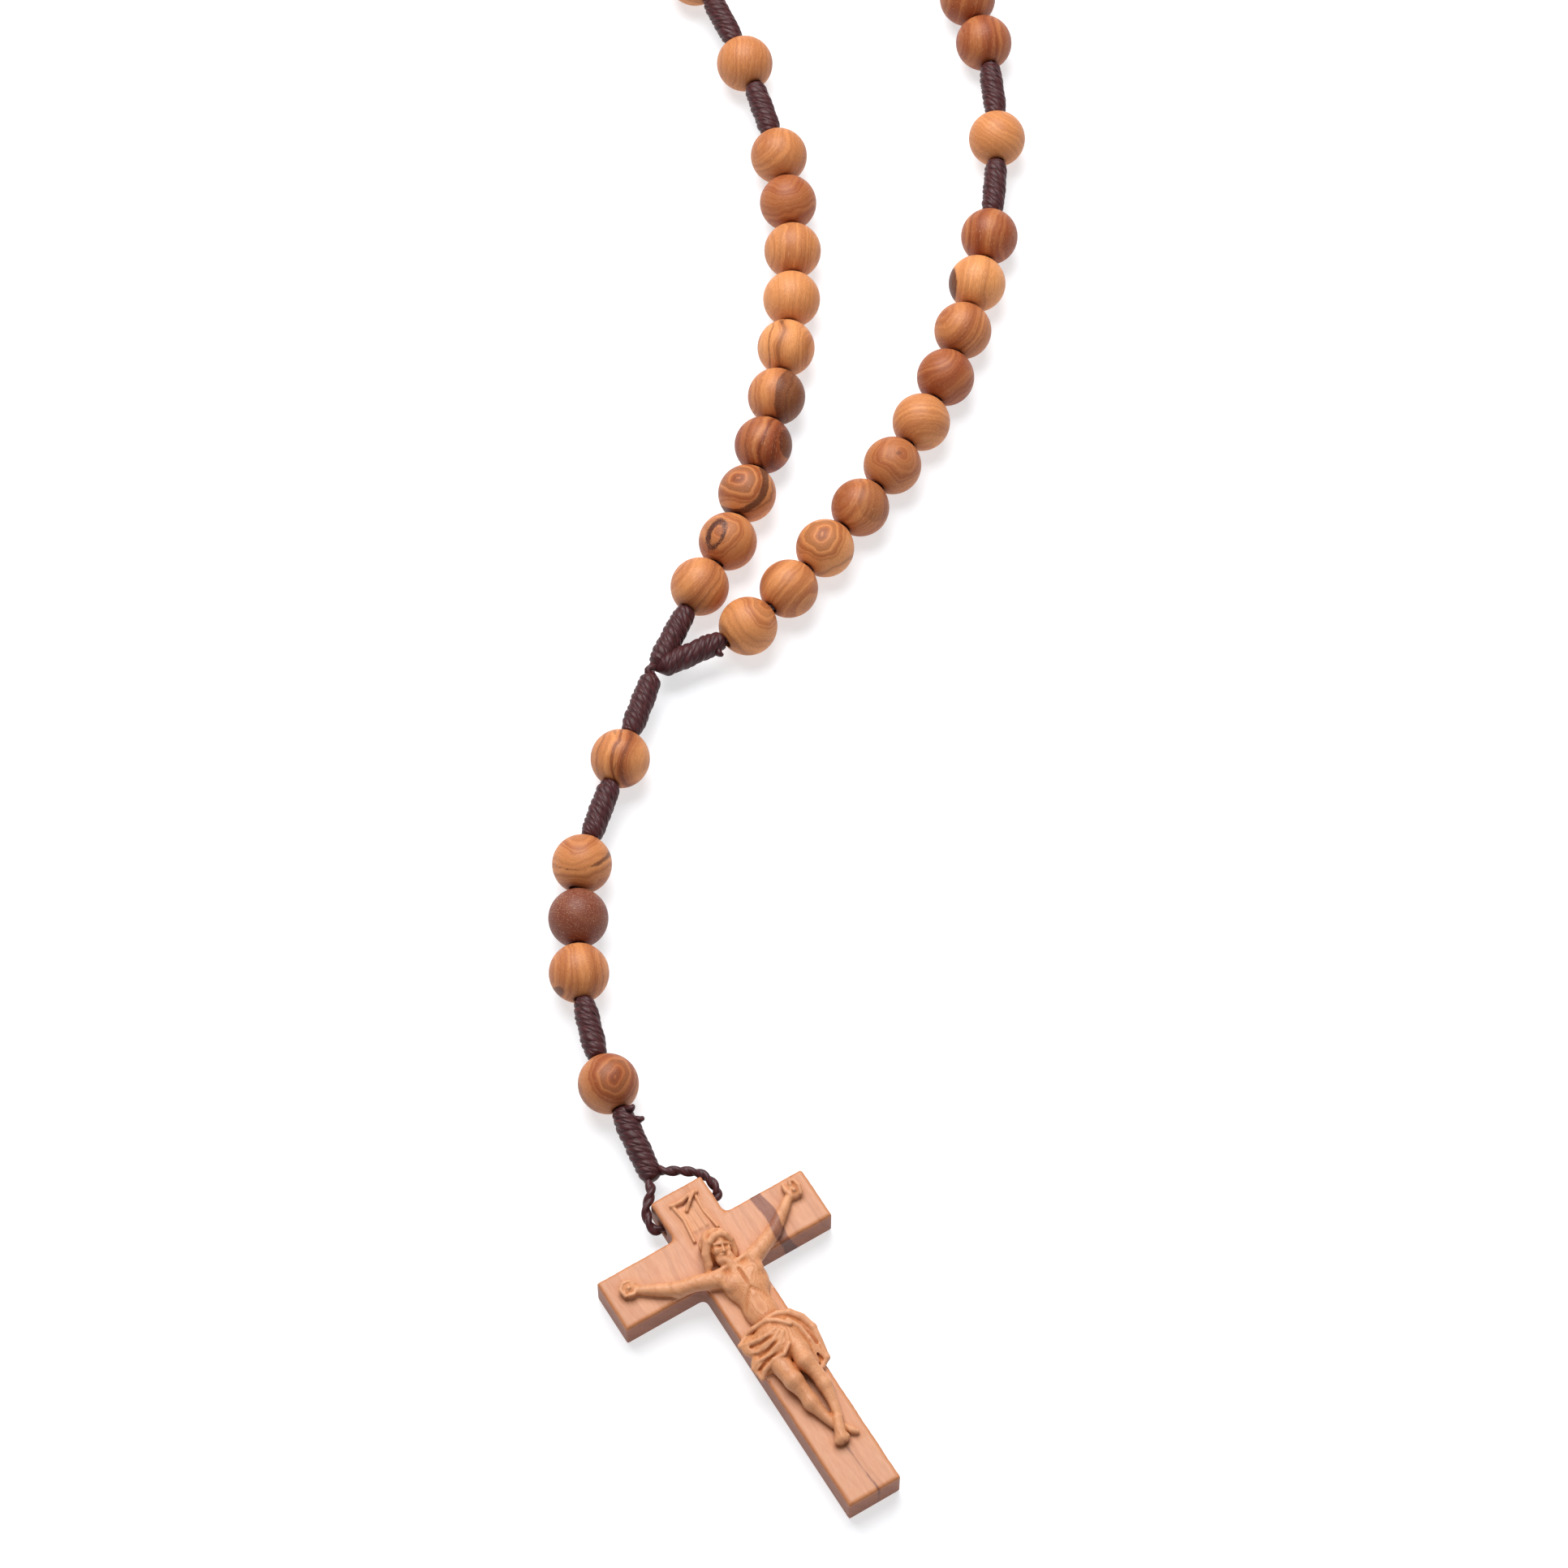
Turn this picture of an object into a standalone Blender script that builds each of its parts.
"""Rosary: fifty-nine turned olive-wood beads and a carved wooden crucifix on one knotted cord.

The rosary lies flat on a table. The ring of five decades and four single beads starts and ends at
the junction knots, and a pendant of five beads hangs from the junction and ends in the crucifix.
Units are metres, +Z is up, the table is at z = 0 and the origin is under the middle of the whole
rosary. Each cord is split where its knots let it bend, and an empty stands on each such pivot.
"""

import math

import bmesh
import bpy
import numpy as np
from mathutils import Matrix, Vector

MM = 0.001

# Beads and cord
BEAD_DIAMETER = 8.0 * MM
BEAD_PLAY = 0.1 * MM  # slack for each bead of a decade
CORD_DIAMETER = 1.4 * MM
BORE_ROOM = 0.8 * MM  # how much wider than the cord each drilled hole is, so that the bead turns
CLEARANCE = 0.3 * MM  # gap between the end of one piece and the next

# Knots: barrels of wound cord, with round ends centred on the pivots
KNOT_DIAMETER = 3.2 * MM
KNOT_LENGTH = 8.9 * MM
LAST_KNOT_LENGTH = 10.7 * MM  # the knot above the crucifix
KNOT_SEAT = 0.38 * MM  # gap between a knot's round end and the rim of the bead beside it
HUB_DIAMETER = 2.2 * MM  # where the ring's two ends and the pendant meet
FIRST_BEADS_GAP = 1.1 * MM  # between the ring's first and last beads, beside the junction

# Crucifix, cut from one piece of wood and lying on its back
CROSS_LENGTH = 49.0 * MM
CROSS_SPAN = 31.0 * MM
BAR_WIDTH = 7.8 * MM
BAR_THICKNESS = 4.8 * MM
EDGE_ROUND = 0.45 * MM
ARMS_FROM_TOP = 9.9 * MM  # from the top end to the middle of the arms
BORE_FROM_TOP = 3.0 * MM  # from the top end to the hole from side to side for the loop
LOOP_PLAY = 0.5 * MM  # room for the head of the cross to turn inside the cord loop
CRUCIFIX_TURN = math.radians(31.5)  # how far the crucifix lies from straight down
BARE_FOOT = 6.8 * MM  # plain wood below the figure's feet
BARE_HAND = 1.9 * MM  # plain wood beyond each of its hands
FIGURE_RELIEF = 3.1 * MM  # how far the head stands out from the wood's face
SCROLL_LENGTH = 4.4 * MM
SCROLL_WIDTH = 3.8 * MM
SCROLL_FROM_TOP = 2.1 * MM
SCROLL_RELIEF = 0.6 * MM

# Counts
DECADE = 10
TRIO = 3

# Mesh finish
BEAD_SIDES = 10
BEAD_ARC_STEPS = 6
CORD_SIDES = 6
KNOT_SIDES = 8
RING_STEP = 4.2 * MM  # spacing of a cord's cross sections, three diameters
ROUTE_SAMPLES = 40  # points read between two route points

# Routes of the cord's middle line on the table, in millimetres from a corner of the layout. They
# are drawn for the reaches below, and grow or shrink with the beads and knots strung on them.
JUNCTION = (-17.6, 15.2)
LEFT_ROUTE = [
    JUNCTION, (-11.4, 28.6), (-7.6, 35.8), (-2.8, 51.2), (0.3, 67.0),
    (1.2, 83.2), (-0.8, 99.4), (-5.4, 114.4), (-12.5, 131.0),
]
RIGHT_ROUTE = [
    JUNCTION, (-5.0, 22.1), (5.4, 34.2), (14.7, 47.3), (22.3, 61.6),
    (27.0, 77.2), (28.9, 85.1), (30.3, 101.6), (29.0, 118.7), (27.6, 127.0),
]
PENDANT_ROUTE = [
    JUNCTION, (-19.4, 9.6), (-21.9, 2.0), (-25.0, -7.6), (-27.1, -15.6),
    (-27.2, -24.0), (-26.9, -31.6), (-25.4, -39.2), (-22.9, -46.6), (-19.8, -53.4), (-16.9, -60.0),
]
RING_DRAWN_REACH = 115.3  # route length from the junction to either upper pivot
PENDANT_DRAWN_REACH = 76.8  # route length from the junction to the crucifix loop's pivot
# Headings, in degrees from +X, of the ring's two free arcs where they leave and reach their pivots
TOP_ARC_HEADINGS = (120.0, -70.0)
RIGHT_ARC_HEADINGS = (95.7, 78.0)

# Sizes that follow from the ones above
BEAD_RADIUS = BEAD_DIAMETER / 2
CORD_RADIUS = CORD_DIAMETER / 2
KNOT_RADIUS = KNOT_DIAMETER / 2
PITCH = BEAD_DIAMETER + BEAD_PLAY
BORE = CORD_DIAMETER + BORE_ROOM
BEAD_HALF_LENGTH = math.sqrt(BEAD_RADIUS**2 - (BORE / 2) ** 2)
# From a knot's end centre to the middle of the bead that sits against it
SEAT = BEAD_HALF_LENGTH + math.sqrt((KNOT_RADIUS + KNOT_SEAT) ** 2 - (BORE / 2) ** 2)
# The same, to the nearest bead of the joined decade, which has no hole for the knot to sit in
JOINED_SEAT = math.sqrt(BEAD_RADIUS**2 - CORD_RADIUS**2) + KNOT_RADIUS + CLEARANCE
KNOT_CORE = KNOT_LENGTH - KNOT_DIAMETER  # between a knot's two end centres
PAST_KNOT = 2 * SEAT + KNOT_CORE  # from a bead to the next one across a knot
TURNING_RADIUS = math.hypot(BORE_FROM_TOP, BAR_THICKNESS / 2)

WOOD = bpy.data.materials.new("olive_wood")
CORD = bpy.data.materials.new("brown_nylon_cord")


def finish_material(material, colour, roughness):
    """Sets a material's Principled shader to a linear colour and a roughness, with no metal."""
    material.use_nodes = True
    shader = material.node_tree.nodes["Principled BSDF"]
    shader.inputs["Base Color"].default_value = (*colour, 1.0)
    shader.inputs["Roughness"].default_value = roughness
    shader.inputs["Metallic"].default_value = 0.0


class Route:
    """A smooth line through the cord's middle, read by its length from the start."""

    def __init__(self, line):
        self.line = np.asarray(line, float)
        steps = np.linalg.norm(np.diff(self.line, axis=0), axis=1)
        self.lengths = np.concatenate([[0.0], np.cumsum(steps)])

    def at(self, length):
        return np.stack([np.interp(length, self.lengths, c) for c in self.line.T], axis=-1)

    def direction(self, length):
        reach = BEAD_RADIUS / 2
        way = self.at(length + reach) - self.at(length - reach)
        return way / np.linalg.norm(way, axis=-1, keepdims=True)


def through(points, scale, heights):
    """A Catmull-Rom line through route points scaled about the layout's origin, at the given
    heights: one height for all the points, or one for each."""
    flat = np.array(points, float) * MM * scale
    knots = np.column_stack([flat, np.broadcast_to(heights, len(flat))])
    knots = np.vstack([2 * knots[0] - knots[1], knots, 2 * knots[-1] - knots[-2]])
    t = np.linspace(0, 1, ROUTE_SAMPLES, endpoint=False)[:, None]
    line = []
    for a, b, c, d in zip(knots, knots[1:], knots[2:], knots[3:]):
        line.append(
            b + (c - a) * t / 2 + (2 * a - 5 * b + 4 * c - d) * t**2 / 2
            + (3 * b - a - 3 * c + d) * t**3 / 2
        )
    return Route(np.vstack([*line, knots[-2:-1]]))


def free_arc(start, end, length, headings):
    """A line of the given length from start to end. Its heading is a cubic in the share of length
    covered: the first and last headings are given, and Newton steps find the other two terms."""
    share = (np.arange(400) + 0.5) / 400
    first, last = np.radians(headings)
    terms = np.zeros(2)

    def heading(terms):
        a, b = terms
        return first + a * share + b * share**2 + (last - first - a - b) * share**3

    def miss(terms):
        way = heading(terms)
        return length * np.array([np.cos(way).mean(), np.sin(way).mean()]) - (end - start)[:2]

    for _ in range(60):
        error = miss(terms)
        slope = np.column_stack([miss(terms + step) - error for step in np.eye(2) * 1e-6]) / 1e-6
        terms = terms - 0.5 * np.linalg.solve(slope, error)
    way = heading(terms)
    steps = np.column_stack([np.cos(way), np.sin(way), np.zeros(400)]) * length / 400
    return Route(start + np.vstack([np.zeros(3), np.cumsum(steps, axis=0)]))


def empty_at(name, place, parent):
    """An empty with no turn at a layout point, kept at that point under its parent."""
    empty = bpy.data.objects.new(name, None)
    empty.empty_display_size = BEAD_RADIUS
    bpy.context.scene.collection.objects.link(empty)
    keep_place(empty, place, parent)
    return empty


def keep_place(obj, place, parent):
    obj["layout_point"] = [float(x) for x in place]
    origin = Vector(parent["layout_point"]) if parent else Vector()
    obj.parent = parent
    obj.location = Vector(obj["layout_point"]) - origin


def add_object(name, mesh, material, place, parent):
    """Links a mesh as a named object at a layout point and shades its round faces smooth."""
    mesh.materials.clear()
    mesh.materials.append(material)
    mesh.shade_smooth()
    mesh.set_sharp_from_angle(angle=math.radians(50))
    obj = bpy.data.objects.new(name, mesh)
    bpy.context.scene.collection.objects.link(obj)
    keep_place(obj, place, parent)
    return obj


def swept_mesh(name, centres, ways, radii, sides, origin, closed=False):
    """A round bar along a line of centres, with a direction and a radius at each. Its cross
    sections stand square to the directions, and its ends are flat unless it closes on itself."""
    ways = np.asarray(ways) / np.linalg.norm(ways, axis=1)[:, None]
    side = np.cross(ways, [0.0, 0.0, 1.0])
    side /= np.linalg.norm(side, axis=1)[:, None]
    down = np.cross(ways, side)
    angles = np.arange(sides) * 2 * math.pi / sides
    around = np.cos(angles)[:, None] * down[:, None, :] + np.sin(angles)[:, None] * side[:, None, :]
    points = np.asarray(centres)[:, None] + around * np.asarray(radii)[:, None, None] - origin
    bm = bmesh.new()
    rings = [[bm.verts.new(p) for p in ring] for ring in points]
    pairs = list(zip(rings, rings[1:] + rings[:1])) if closed else list(zip(rings, rings[1:]))
    for ring, following in pairs:
        for i in range(sides):
            j = (i + 1) % sides
            bm.faces.new((ring[i], ring[j], following[j], following[i]))
    if not closed:
        bm.faces.new(rings[0])
        bm.faces.new(rings[-1])
    bmesh.ops.recalc_face_normals(bm, faces=bm.faces)
    mesh = bpy.data.meshes.new(name)
    bm.to_mesh(mesh)
    bm.free()
    return mesh


def bead_mesh():
    """A turned bead with its hole along X: a ring of profile points carried round the axis. The
    profile is the outer arc from rim to rim, and the hole's wall closes it."""
    rim = math.atan2(BEAD_HALF_LENGTH, BORE / 2)
    bm = bmesh.new()
    rings = []
    for step in range(BEAD_SIDES):
        turn = 2 * math.pi * step / BEAD_SIDES
        ring = []
        for angle in np.linspace(-rim, rim, BEAD_ARC_STEPS + 1):
            out = BEAD_RADIUS * math.cos(angle)
            spot = (BEAD_RADIUS * math.sin(angle), out * math.sin(turn), -out * math.cos(turn))
            ring.append(bm.verts.new(spot))
        rings.append(ring)
    for ring, following in zip(rings, rings[1:] + rings[:1]):
        for i in range(len(ring)):
            j = (i + 1) % len(ring)
            bm.faces.new((ring[i], ring[j], following[j], following[i]))
    bmesh.ops.recalc_face_normals(bm, faces=bm.faces)
    mesh = bpy.data.meshes.new("turned_bead")
    bm.to_mesh(mesh)
    bm.free()
    return mesh


def add_bead(name, mesh, route, length, parent):
    """A bead on a route, turned so that its hole follows the cord."""
    bead = add_object(name, mesh, WOOD, route.at(length), parent)
    way = route.direction(length)
    bead.rotation_euler = (0.0, 0.0, math.atan2(way[1], way[0]))
    return bead


def round_end(length, reach, radius):
    """Stations of a half ball: (length, radius) pairs from its tip at length + reach inwards."""
    angles = np.radians([10, 40, 65])
    return [(length + reach * math.cos(a), radius * math.sin(a)) for a in angles]


def cord_stations(start, end, knots):
    """(length, radius) pairs of a cord from start to end, thick where its knots are. A knot is
    given by its two end centres, and a knot that ends the cord has a round end."""
    stations = []
    here = start
    for first, last in knots:
        if first > here:
            count = max(2, math.ceil((first - KNOT_RADIUS - here) / RING_STEP) + 1)
            stations += [(s, CORD_RADIUS) for s in np.linspace(here, first - KNOT_RADIUS, count)]
            stations += round_end(first, -KNOT_RADIUS, KNOT_RADIUS)[1:]
        stations += [(s, KNOT_RADIUS) for s in np.linspace(first, last, 3)]
        if last + KNOT_RADIUS < end:
            stations += round_end(last, KNOT_RADIUS, KNOT_RADIUS)[:0:-1]
            stations.append((last + KNOT_RADIUS, CORD_RADIUS))
        else:
            stations += round_end(last, KNOT_RADIUS, KNOT_RADIUS)[::-1]
        here = last + KNOT_RADIUS
    if here < end:
        count = max(2, math.ceil((end - here) / RING_STEP) + 1)
        stations += [(s, CORD_RADIUS) for s in np.linspace(here, end, count)[1 if knots else 0:]]
    return stations


def add_cord(name, route, start, end, knots, parent):
    """A length of cord with its knots, as one solid."""
    stations = cord_stations(start, end, knots)
    lengths, radii = np.array(stations).T
    sides = KNOT_SIDES if knots else CORD_SIDES
    origin = np.array(parent["layout_point"])
    mesh = swept_mesh(name, route.at(lengths), route.direction(lengths), radii, sides, origin)
    return add_object(name, mesh, CORD, origin, parent)


def add_joined_beads(name, route, first, count, parent):
    """A whole decade as one solid: its beads and the cord inside them."""
    rim = math.acos(CORD_RADIUS / BEAD_RADIUS)
    arc = np.linspace(-rim, rim, BEAD_ARC_STEPS + 1)
    lengths, radii = [], []
    for i in range(count):
        lengths += list(first + i * PITCH + BEAD_RADIUS * np.sin(arc))
        radii += list(BEAD_RADIUS * np.cos(arc))
    lengths = np.array(lengths)
    origin = np.array(parent["layout_point"])
    mesh = swept_mesh(name, route.at(lengths), route.direction(lengths), radii, BEAD_SIDES, origin)
    return add_object(name, mesh, WOOD, origin, parent)


def box_mesh(name, low, high):
    bm = bmesh.new()
    bmesh.ops.create_cube(bm, size=1.0)
    size = Vector(high) - Vector(low)
    bmesh.ops.scale(bm, vec=size, verts=bm.verts)
    bmesh.ops.translate(bm, vec=(Vector(high) + Vector(low)) / 2, verts=bm.verts)
    mesh = bpy.data.meshes.new(name)
    bm.to_mesh(mesh)
    bm.free()
    return mesh


def helper(obj):
    """Keeps a shape that only cuts or joins another out of the model."""
    obj.hide_render = True
    obj.display_type = "WIRE"
    return obj


def combine(obj, other, operation):
    modifier = obj.modifiers.new(f"{operation.lower()}_{other.name}", "BOOLEAN")
    modifier.operation = operation
    modifier.object = other
    modifier.use_self = operation == "UNION"


def carved_figure_mesh():
    """The carving's main masses, as overlapping round forms that the union makes one: a plain
    stand-in for the figure. It hangs from the arms' middle line and fills the wood down to the bare
    foot, so its lengths are shares of that drop and its widths are shares of the bar."""
    arms = BORE_FROM_TOP - ARMS_FROM_TOP
    face = BAR_THICKNESS / 2
    drop = CROSS_LENGTH - ARMS_FROM_TOP - BARE_FOOT
    half = BAR_WIDTH / 2
    reach = CROSS_SPAN / 2 - BARE_HAND
    bm = bmesh.new()

    def ball(x, y, z, half_x, half_y, half_z, turn=0.0):
        place = Matrix.Translation((x, y, z)) @ Matrix.Rotation(turn, 4, "Z")
        size = Matrix.Diagonal((half_x, half_y, half_z, 1.0))
        bmesh.ops.create_uvsphere(bm, u_segments=10, v_segments=6, radius=1.0, matrix=place @ size)

    def limb(x0, y0, x1, y1, thick):
        long = math.hypot(x1 - x0, y1 - y0) / 2 + thick / 2
        turn = math.atan2(y1 - y0, x1 - x0)
        ball((x0 + x1) / 2, (y0 + y1) / 2, face + thick / 4, long, thick / 2, thick / 2, turn)

    head = 0.074 * drop
    ball(-0.1 * half, arms - 0.01 * drop, face + 0.35 * FIGURE_RELIEF,
         0.54 * half, head, 0.65 * FIGURE_RELIEF)
    ball(0.0, arms - 0.22 * drop, face, 0.87 * half, 0.17 * drop, 0.74 * FIGURE_RELIEF)  # chest
    ball(-0.05 * half, arms - 0.47 * drop, face, 1.25 * half, 0.12 * drop, 0.8 * FIGURE_RELIEF)
    for side in (-1, 1):
        elbow = (side * (0.85 * half + reach) / 2, arms - 0.07 * drop)
        limb(side * 0.85 * half, arms - 0.105 * drop, *elbow, 0.3 * BAR_WIDTH)  # upper arm
        limb(*elbow, side * (reach - 0.12 * BAR_WIDTH), arms + 0.04 * drop, 0.23 * BAR_WIDTH)
    knees = (0.23 * half, arms - 0.75 * drop)
    limb(-0.08 * half, arms - 0.53 * drop, *knees, 0.51 * BAR_WIDTH)  # thighs
    limb(*knees, 0.1 * half, arms - 0.96 * drop, 0.33 * BAR_WIDTH)  # shins and feet
    mesh = bpy.data.meshes.new("carved_figure_forms")
    bm.to_mesh(mesh)
    bm.free()
    return mesh


def cross_mesh():
    """The cross as an outline of twelve corners, extruded from its back to its face. Its origin is
    the middle of the cord hole, with +Y towards the top end."""
    top = BORE_FROM_TOP
    foot = top - CROSS_LENGTH
    arms = top - ARMS_FROM_TOP
    half, reach = BAR_WIDTH / 2, CROSS_SPAN / 2
    right = [(half, top), (half, arms + half), (reach, arms + half)]
    right += [(reach, arms - half), (half, arms - half), (half, foot)]
    outline = right + [(-x, y) for x, y in reversed(right)]
    bm = bmesh.new()
    face = bm.faces.new([bm.verts.new((x, y, -BAR_THICKNESS / 2)) for x, y in outline])
    raised = bmesh.ops.extrude_face_region(bm, geom=[face])["geom"]
    risen = [v for v in raised if isinstance(v, bmesh.types.BMVert)]
    bmesh.ops.translate(bm, vec=(0, 0, BAR_THICKNESS), verts=risen)
    bmesh.ops.recalc_face_normals(bm, faces=bm.faces)
    mesh = bpy.data.meshes.new("crucifix")
    bm.to_mesh(mesh)
    bm.free()
    return mesh


def add_crucifix(place, parent):
    """The crucifix on its back: a cross with rounded edges, the figure and scroll carved on its
    face, and the cord hole from side to side through its head."""
    crucifix = add_object("crucifix", cross_mesh(), WOOD, place, parent)
    bevel = crucifix.modifiers.new("rounded_edges", "BEVEL")
    bevel.width = EDGE_ROUND
    bevel.segments = 2
    bevel.limit_method = "ANGLE"
    forms = helper(add_object("figure_forms", carved_figure_mesh(), WOOD, place, parent))
    top = BORE_FROM_TOP - SCROLL_FROM_TOP
    face = BAR_THICKNESS / 2
    low = (-SCROLL_WIDTH / 2, top - SCROLL_LENGTH, face - SCROLL_RELIEF)
    scroll = box_mesh("scroll_block", low, (SCROLL_WIDTH / 2, top, face + SCROLL_RELIEF))
    scroll = helper(add_object("scroll_block", scroll, WOOD, place, parent))
    half = BAR_WIDTH / 2 + CLEARANCE
    ends = [(-half, 0.0, 0.0), (half, 0.0, 0.0)]
    ways = [(1.0, 0.0, 0.0)] * 2
    hole = swept_mesh("cord_hole", ends, ways, [BORE / 2] * 2, KNOT_SIDES, np.zeros(3))
    hole = helper(add_object("cord_hole", hole, WOOD, place, parent))
    for obj in (crucifix, forms, scroll, hole):
        obj.rotation_euler = (0.0, 0.0, CRUCIFIX_TURN)
    combine(crucifix, forms, "UNION")
    combine(crucifix, scroll, "UNION")
    combine(crucifix, hole, "DIFFERENCE")
    return crucifix


def add_loop(bore, pivot, parent):
    """The cord loop: through the hole in the head of the cross, out past both sides and together
    again just short of the last knot's round end."""
    turn = np.array(Matrix.Rotation(CRUCIFIX_TURN, 3, "Z"))
    to_pivot = turn.T @ (pivot - bore)
    side = BAR_WIDTH / 2 + LOOP_PLAY + CORD_RADIUS
    top = TURNING_RADIUS + LOOP_PLAY + CORD_RADIUS
    drop = to_pivot * (1 - (KNOT_RADIUS + CLEARANCE + CORD_RADIUS) / np.linalg.norm(to_pivot))
    half = [
        (0.0, 0.0, 0.0), (0.62 * side, 0.0, 0.0), (0.95 * side, 0.07 * top, 0.0),
        (1.08 * side, 0.3 * top, 0.0), (1.04 * side, 0.62 * top, 0.0),
        (0.85 * side, 0.9 * top, 0.25 * drop[2]),
    ]
    right = np.array(half)
    left = (right * (-1, 1, 1))[:0:-1]
    crown = np.array([(right[-1] + drop) / 2 + (0, 0.1 * side, 0), drop, (left[0] + drop) / 2])
    points = bore + np.vstack([right, crown, left]) @ turn.T
    knots = np.vstack([points[-1:], points, points[:2]])
    line = []
    for a, b, c, d in zip(knots, knots[1:], knots[2:], knots[3:]):
        for t in (0.0, 0.5):
            line.append(b + (c - a) * t / 2 + (2 * a - 5 * b + 4 * c - d) * t**2 / 2
                        + (3 * b - a - 3 * c + d) * t**3 / 2)
    line = np.array(line)
    ways = np.roll(line, -1, axis=0) - np.roll(line, 1, axis=0)
    radii = [CORD_RADIUS] * len(line)
    mesh = swept_mesh("crucifix_loop", line, ways, radii, CORD_SIDES, pivot, closed=True)
    return add_object("crucifix_loop", mesh, CORD, pivot, parent)


def add_junction(left, right, reach, parent):
    """The two barrel knots that hold the ring's ends, joined where they meet the pendant."""
    hub = HUB_DIAMETER / 2
    origin = np.array(parent["layout_point"])

    def barrel(name, route, start):
        way = route.at(reach - SEAT) - route.at(0.0)
        end = np.linalg.norm(way)
        stations = [(start, 0.8 * hub), (2 * hub, KNOT_RADIUS), (end / 2, KNOT_RADIUS)]
        stations += [(end, KNOT_RADIUS)] + round_end(end, KNOT_RADIUS, KNOT_RADIUS)[::-1]
        lengths, radii = np.array(stations).T
        centres = route.at(0.0) + np.outer(lengths / end, way)
        ways = np.tile(way, (len(stations), 1))
        mesh = swept_mesh(name, centres, ways, radii, KNOT_SIDES, origin)
        return add_object(name, mesh, CORD, origin, parent)

    knots = barrel("junction_knots", right, -hub / 2)
    combine(knots, helper(barrel("left_junction_barrel", left, hub / 4)), "UNION")
    return knots


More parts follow.
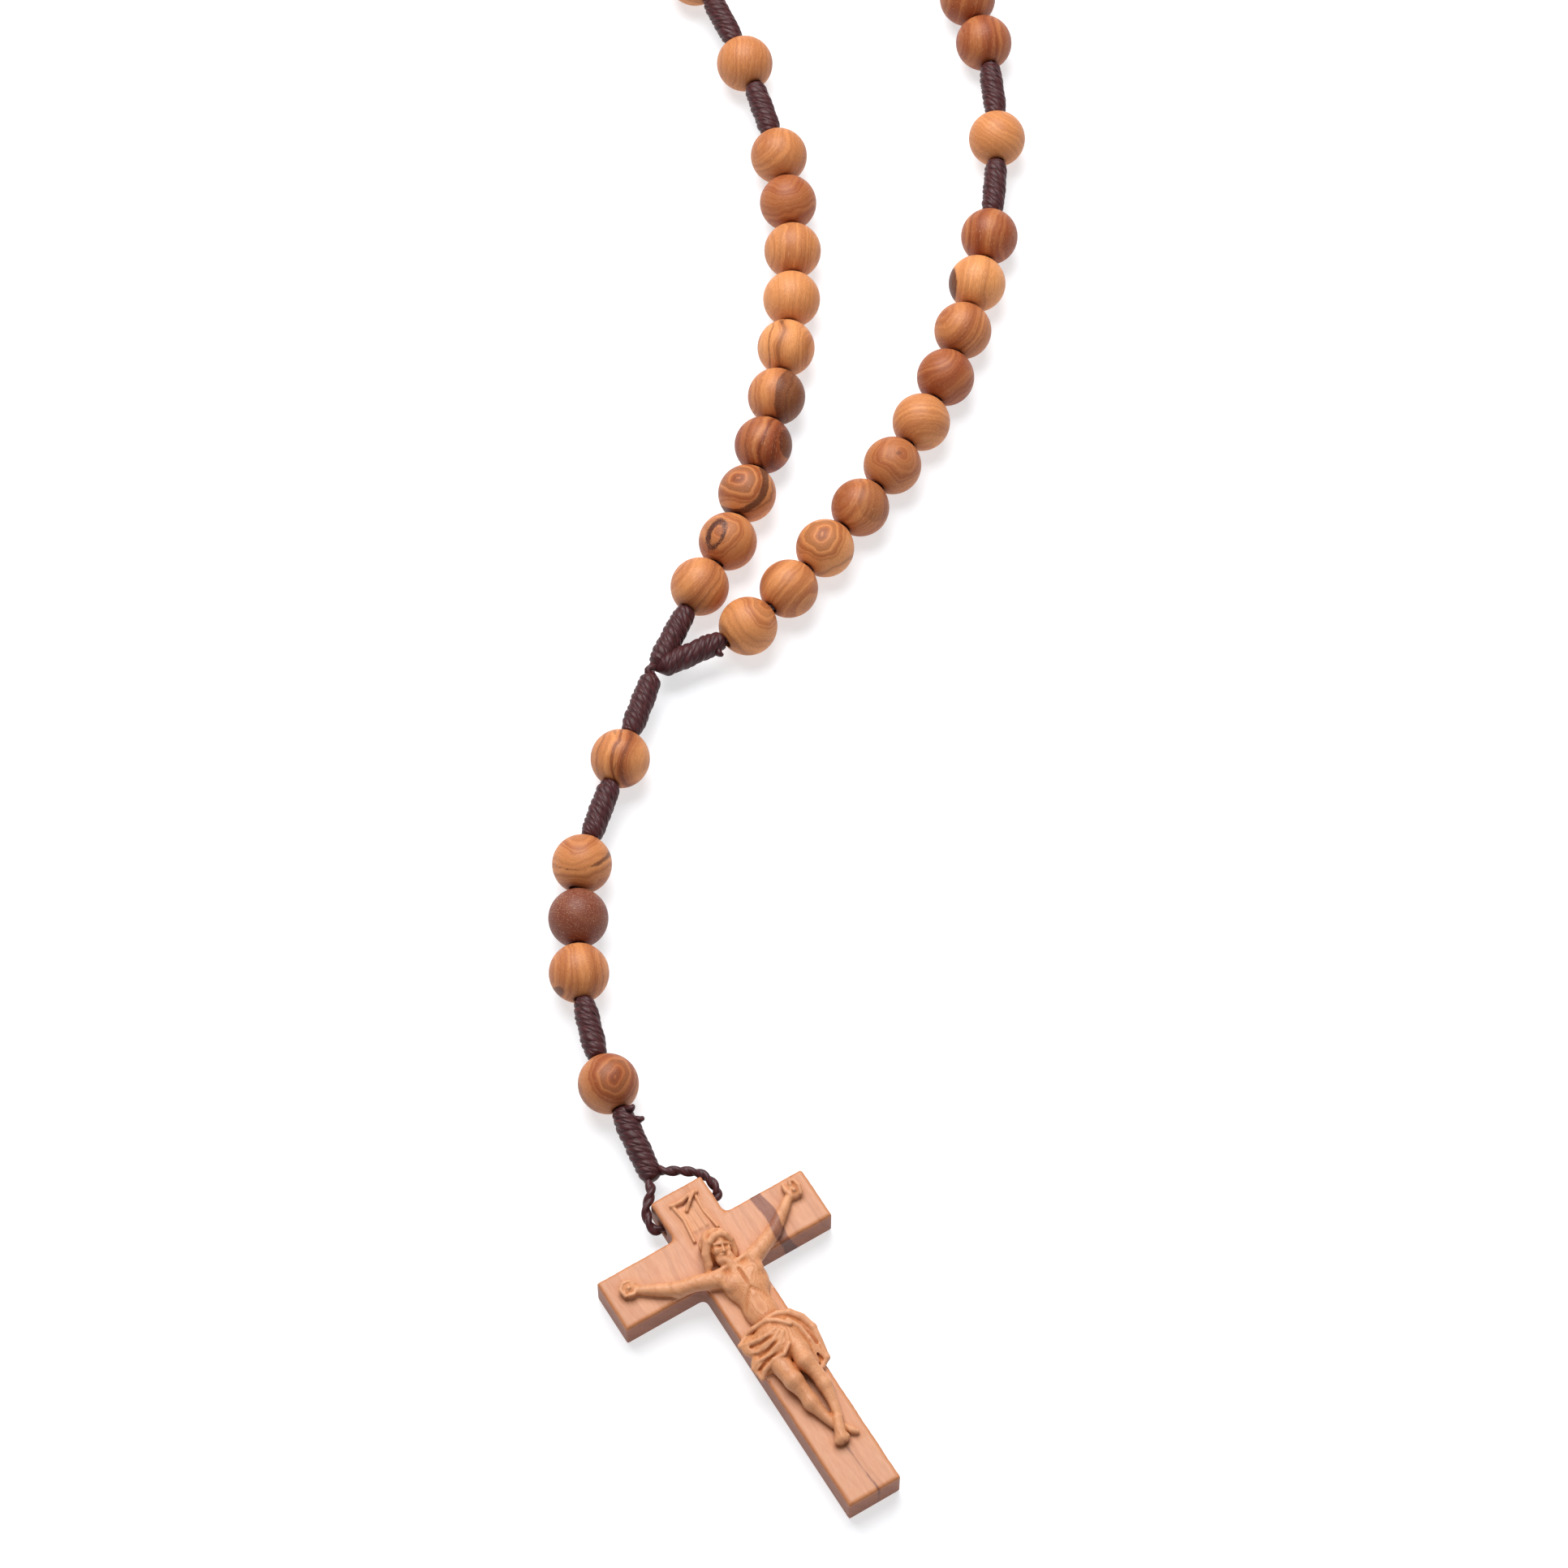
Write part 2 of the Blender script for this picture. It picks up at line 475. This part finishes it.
def main():
    for obj in list(bpy.data.objects):
        bpy.data.objects.remove(obj)
    finish_material(WOOD, (0.52, 0.25, 0.1), 0.45)
    finish_material(CORD, (0.045, 0.018, 0.02), 0.55)

    # How far the first bead stands from the junction, so that its twin has room beside it
    left_way, right_way = (np.subtract(r[1], r[0]) for r in (LEFT_ROUTE, RIGHT_ROUTE))
    cosine = left_way @ right_way / np.linalg.norm(left_way) / np.linalg.norm(right_way)
    reach = (BEAD_DIAMETER + FIRST_BEADS_GAP) / (2 * math.sin(math.acos(cosine) / 2))
    decade = (DECADE - 1) * PITCH

    # Lengths along either side of the ring, from the junction
    first = reach
    single = first + decade + PAST_KNOT
    upper_pivot = single + SEAT + KNOT_CORE
    ring_scale = upper_pivot / (RING_DRAWN_REACH * MM)
    left = through(LEFT_ROUTE, ring_scale, BEAD_RADIUS)
    right = through(RIGHT_ROUTE, ring_scale, BEAD_RADIUS)
    left_pivot = left.at(first - SEAT)
    left_upper, right_upper = left.at(upper_pivot), right.at(upper_pivot)
    # The ring opens as a parallelogram, whose fourth corner is where the two free arcs meet
    corner = left_upper + right_upper - left_pivot
    # The right arc: decade 4, a knot, single bead 3 and the knot that ends at the open corner
    right_single = SEAT + decade + PAST_KNOT
    right_length = right_single + SEAT + KNOT_CORE
    right_arc = free_arc(right_upper, corner, right_length, RIGHT_ARC_HEADINGS)
    # The top arc: decade 2, a knot, single bead 2, a knot and decade 3, ending at the open corner
    top_single = SEAT + decade + PAST_KNOT
    top_end = top_single + SEAT + KNOT_CORE
    top_decade = top_end + JOINED_SEAT
    top_length = top_decade + decade + JOINED_SEAT
    top_arc = free_arc(left_upper, corner, top_length, TOP_ARC_HEADINGS)

    # Lengths along the pendant, from the junction
    upper = HUB_DIAMETER / 2 + CLEARANCE + KNOT_LENGTH - KNOT_RADIUS + SEAT
    trio = upper + PAST_KNOT
    lower = trio + (TRIO - 1) * PITCH + PAST_KNOT
    loop_pivot = lower + SEAT + LAST_KNOT_LENGTH - KNOT_DIAMETER
    pendant_scale = loop_pivot / (PENDANT_DRAWN_REACH * MM)
    # The pendant's cord comes down to the height of the hole in the crucifix at its last knot
    heights = np.full(len(PENDANT_ROUTE), BEAD_RADIUS)
    heights[-2:] = BEAD_RADIUS * 0.92, max(BAR_THICKNESS / 2, KNOT_RADIUS) + 0.4 * MM
    shift = np.array([*JUNCTION, 0.0]) * MM * (ring_scale - pendant_scale)
    pendant = Route(through(PENDANT_ROUTE, pendant_scale, heights).line + shift)

    # Pivots, as empties: each carries the pieces that turn about it
    layout = empty_at("rosary", (0.0, 0.0, 0.0), None)
    junction = empty_at("junction_pivot", left.at(0.0), layout)
    left_strand = empty_at("left_strand_pivot", left_pivot, junction)
    ring_top = empty_at("ring_top_pivot", left_upper, left_strand)
    right_top = empty_at("right_arc_pivot", right_upper, junction)
    upper_link = empty_at("pendant_swing_pivot", pendant.at(0.0), junction)
    middle_pivot = upper + SEAT + KNOT_CORE
    middle_link = empty_at("pendant_lift_pivot", pendant.at(middle_pivot), upper_link)
    lower_pivot = trio + (TRIO - 1) * PITCH + SEAT + KNOT_CORE
    lower_link = empty_at("pendant_bend_pivot", pendant.at(lower_pivot), middle_link)
    loop_link = empty_at("crucifix_swing_pivot", pendant.at(loop_pivot), lower_link)

    # Cord and knots. A cord that starts beyond a pivot stands off the knot's round end.
    off = KNOT_RADIUS + CLEARANCE
    past = SEAT + decade + SEAT
    add_junction(left, right, reach, junction)
    first_knot = first + decade + SEAT
    second_knot = single + SEAT
    lower_knots = [(first_knot, first_knot + KNOT_CORE), (second_knot, upper_pivot)]
    for name, route, parent in (
        ("ring_cord_right", right, junction), ("ring_cord_left", left, left_strand),
    ):
        add_cord(name, route, first - SEAT + off, upper_pivot, lower_knots, parent)
    arc_knots = [(past, past + KNOT_CORE), (top_single + SEAT, top_end)]
    add_cord("ring_cord_top", top_arc, off, top_end, arc_knots, ring_top)
    add_cord("ring_cord_right_arc", right_arc, off, right_length, arc_knots, right_top)
    upper_knots = [
        (HUB_DIAMETER / 2 + CLEARANCE, upper - SEAT), (upper + SEAT, middle_pivot),
    ]
    add_cord("pendant_cord_upper", pendant, HUB_DIAMETER / 2 + CLEARANCE, middle_pivot,
             upper_knots, upper_link)
    add_cord("pendant_cord_middle", pendant, middle_pivot + off, lower_pivot,
             [(lower_pivot - KNOT_CORE, lower_pivot)], middle_link)
    add_cord("pendant_cord_lower", pendant, lower_pivot + off, loop_pivot,
             [(lower + SEAT, loop_pivot)], lower_link)

    # Beads, each free to turn on its cord
    bead = bead_mesh()
    for n in range(DECADE):
        along = n * PITCH
        for name, route, start, parent in (
            ("decade_1", left, first, left_strand), ("decade_2", top_arc, SEAT, ring_top),
            ("decade_4", right_arc, SEAT, right_top), ("decade_5", right, first, junction),
        ):
            add_bead(f"{name}_bead_{n + 1:02d}", bead, route, start + along, parent)
    add_joined_beads("decade_3_beads", top_arc, top_decade, DECADE, ring_top)
    add_bead("single_bead_1", bead, left, single, left_strand)
    add_bead("single_bead_2", bead, top_arc, top_single, ring_top)
    add_bead("single_bead_3", bead, right_arc, right_single, right_top)
    add_bead("single_bead_4", bead, right, single, junction)
    add_bead("pendant_upper_bead", bead, pendant, upper, upper_link)
    for n in range(TRIO):
        add_bead(f"pendant_trio_bead_{n + 1}", bead, pendant, trio + n * PITCH, middle_link)
    add_bead("pendant_lower_bead", bead, pendant, lower, lower_link)

    # Crucifix, hanging from its loop
    pivot = pendant.at(loop_pivot)
    turn = np.array(Matrix.Rotation(CRUCIFIX_TURN, 3, "Z"))
    drop = TURNING_RADIUS + CORD_DIAMETER + KNOT_RADIUS + 2 * LOOP_PLAY
    bore = pivot + turn @ (0.15 * drop, -drop, 0.0)
    bore[2] = BAR_THICKNESS / 2
    bore_pivot = empty_at("crucifix_flip_pivot", bore, loop_link)
    add_loop(bore, pivot, loop_link)
    add_crucifix(bore, bore_pivot)

    # Bring the middle of the rosary over the origin
    bpy.context.view_layer.update()
    graph = bpy.context.evaluated_depsgraph_get()
    corners = []
    for obj in bpy.context.scene.objects:
        if obj.type == "MESH" and not obj.hide_render:
            shape = obj.evaluated_get(graph)
            corners += [obj.matrix_world @ v.co for v in shape.data.vertices]
    corners = np.array(corners)
    middle = (corners.min(axis=0) + corners.max(axis=0)) / 2
    layout.location = (-middle[0], -middle[1], 0.0)


main()
